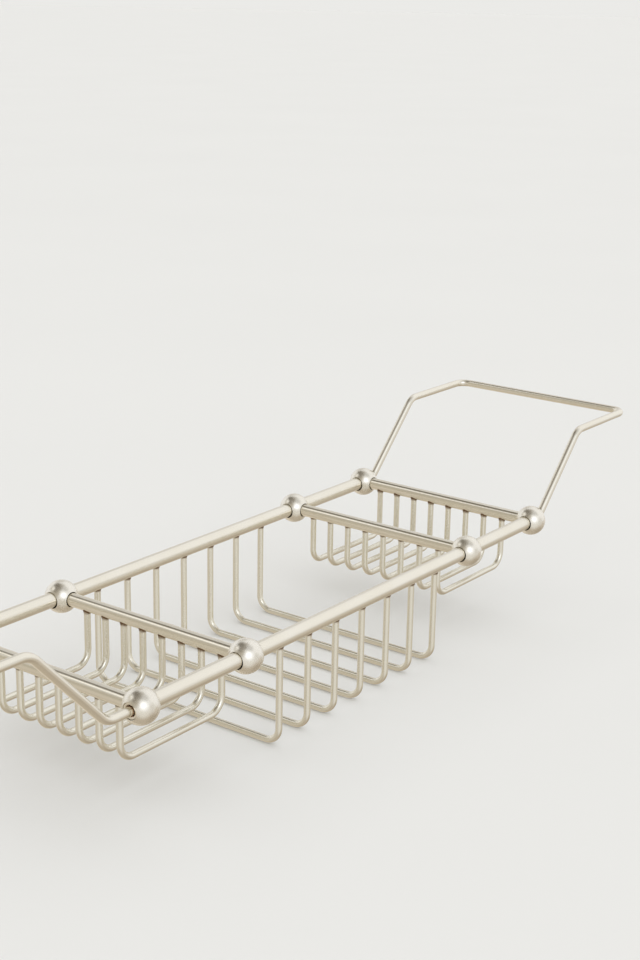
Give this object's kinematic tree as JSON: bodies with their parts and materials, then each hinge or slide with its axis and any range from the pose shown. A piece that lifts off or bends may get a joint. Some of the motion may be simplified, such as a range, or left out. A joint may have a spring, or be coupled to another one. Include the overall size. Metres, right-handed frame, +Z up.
{
  "type": "bath caddy",
  "caption": "Telescopic wire bath rack: tube rails and crossbars joined by balls, a deep middle basket, shallow end baskets, and a sliding rim arm at each end.",
  "frame": {"origin": "centre of the bounding box on the level of the lowest basket wire, with the near arm pulled out a little as in the picture", "axes": "+X along the rails towards the far end, +Y across towards the back rail, +Z up"},
  "size_m": [0.8012, 0.1928, 0.143],
  "materials": {
    "rail_nickel": "satin nickel plate on brass, finely brushed, soft warm sheen, grain along the tube",
    "crossbar_nickel": "satin nickel plate on brass, finely brushed, soft warm sheen, grain along the tube",
    "ball_nickel": "satin nickel plate on turned brass, a little brighter than the tubes",
    "wire_nickel": "satin nickel plate on brass, soft warm sheen, darker where the wires are brazed on",
    "arm_nickel": "satin nickel plate on brass, finely brushed, soft warm sheen, grain along the rod",
    "glide_nylon": "plain natural nylon, matt",
    "screw_steel": "plain machined steel"
  },
  "bodies": {
    "rack": {"rail_front": "rail_nickel", "rail_back": "rail_nickel", "crossbar_1": "crossbar_nickel", "crossbar_2": "crossbar_nickel", "crossbar_3": "crossbar_nickel", "crossbar_4": "crossbar_nickel", "joint_ball_front_1": "ball_nickel", "joint_ball_front_2": "ball_nickel", "joint_ball_front_3": "ball_nickel", "joint_ball_front_4": "ball_nickel", "joint_ball_back_1": "ball_nickel", "joint_ball_back_2": "ball_nickel", "joint_ball_back_3": "ball_nickel", "joint_ball_back_4": "ball_nickel", "set_screw_front_1": "screw_steel", "set_screw_front_2": "screw_steel", "set_screw_front_3": "screw_steel", "set_screw_front_4": "screw_steel", "set_screw_back_1": "screw_steel", "set_screw_back_2": "screw_steel", "set_screw_back_3": "screw_steel", "set_screw_back_4": "screw_steel", "near_basket_wire_1": "wire_nickel", "near_basket_wire_2": "wire_nickel", "near_basket_wire_3": "wire_nickel", "near_basket_wire_4": "wire_nickel", "near_basket_wire_5": "wire_nickel", "near_basket_wire_6": "wire_nickel", "near_basket_wire_7": "wire_nickel", "near_basket_wire_8": "wire_nickel", "middle_basket_wire_1": "wire_nickel", "middle_basket_wire_2": "wire_nickel", "middle_basket_wire_3": "wire_nickel", "middle_basket_wire_4": "wire_nickel", "middle_basket_wire_5": "wire_nickel", "middle_basket_wire_6": "wire_nickel", "middle_basket_wire_7": "wire_nickel", "far_basket_wire_1": "wire_nickel", "far_basket_wire_2": "wire_nickel", "far_basket_wire_3": "wire_nickel", "far_basket_wire_4": "wire_nickel", "far_basket_wire_5": "wire_nickel", "far_basket_wire_6": "wire_nickel", "far_basket_wire_7": "wire_nickel", "far_basket_wire_8": "wire_nickel"},
    "near_arm": {"near_arm": "arm_nickel", "glide_ring_near_front": "glide_nylon", "glide_ring_near_back": "glide_nylon"},
    "far_arm": {"far_arm": "arm_nickel", "glide_ring_far_front": "glide_nylon", "glide_ring_far_back": "glide_nylon"}
  },
  "joints": [
    {"name": "near_arm_slide", "type": "slide", "parent": "rack", "child": "near_arm", "axis": [-1, 0, 0], "range_m": [-0.017, 0.053]},
    {"name": "far_arm_slide", "type": "slide", "parent": "rack", "child": "far_arm", "axis": [1, 0, 0], "range_m": [0, 0.07]}
  ]
}
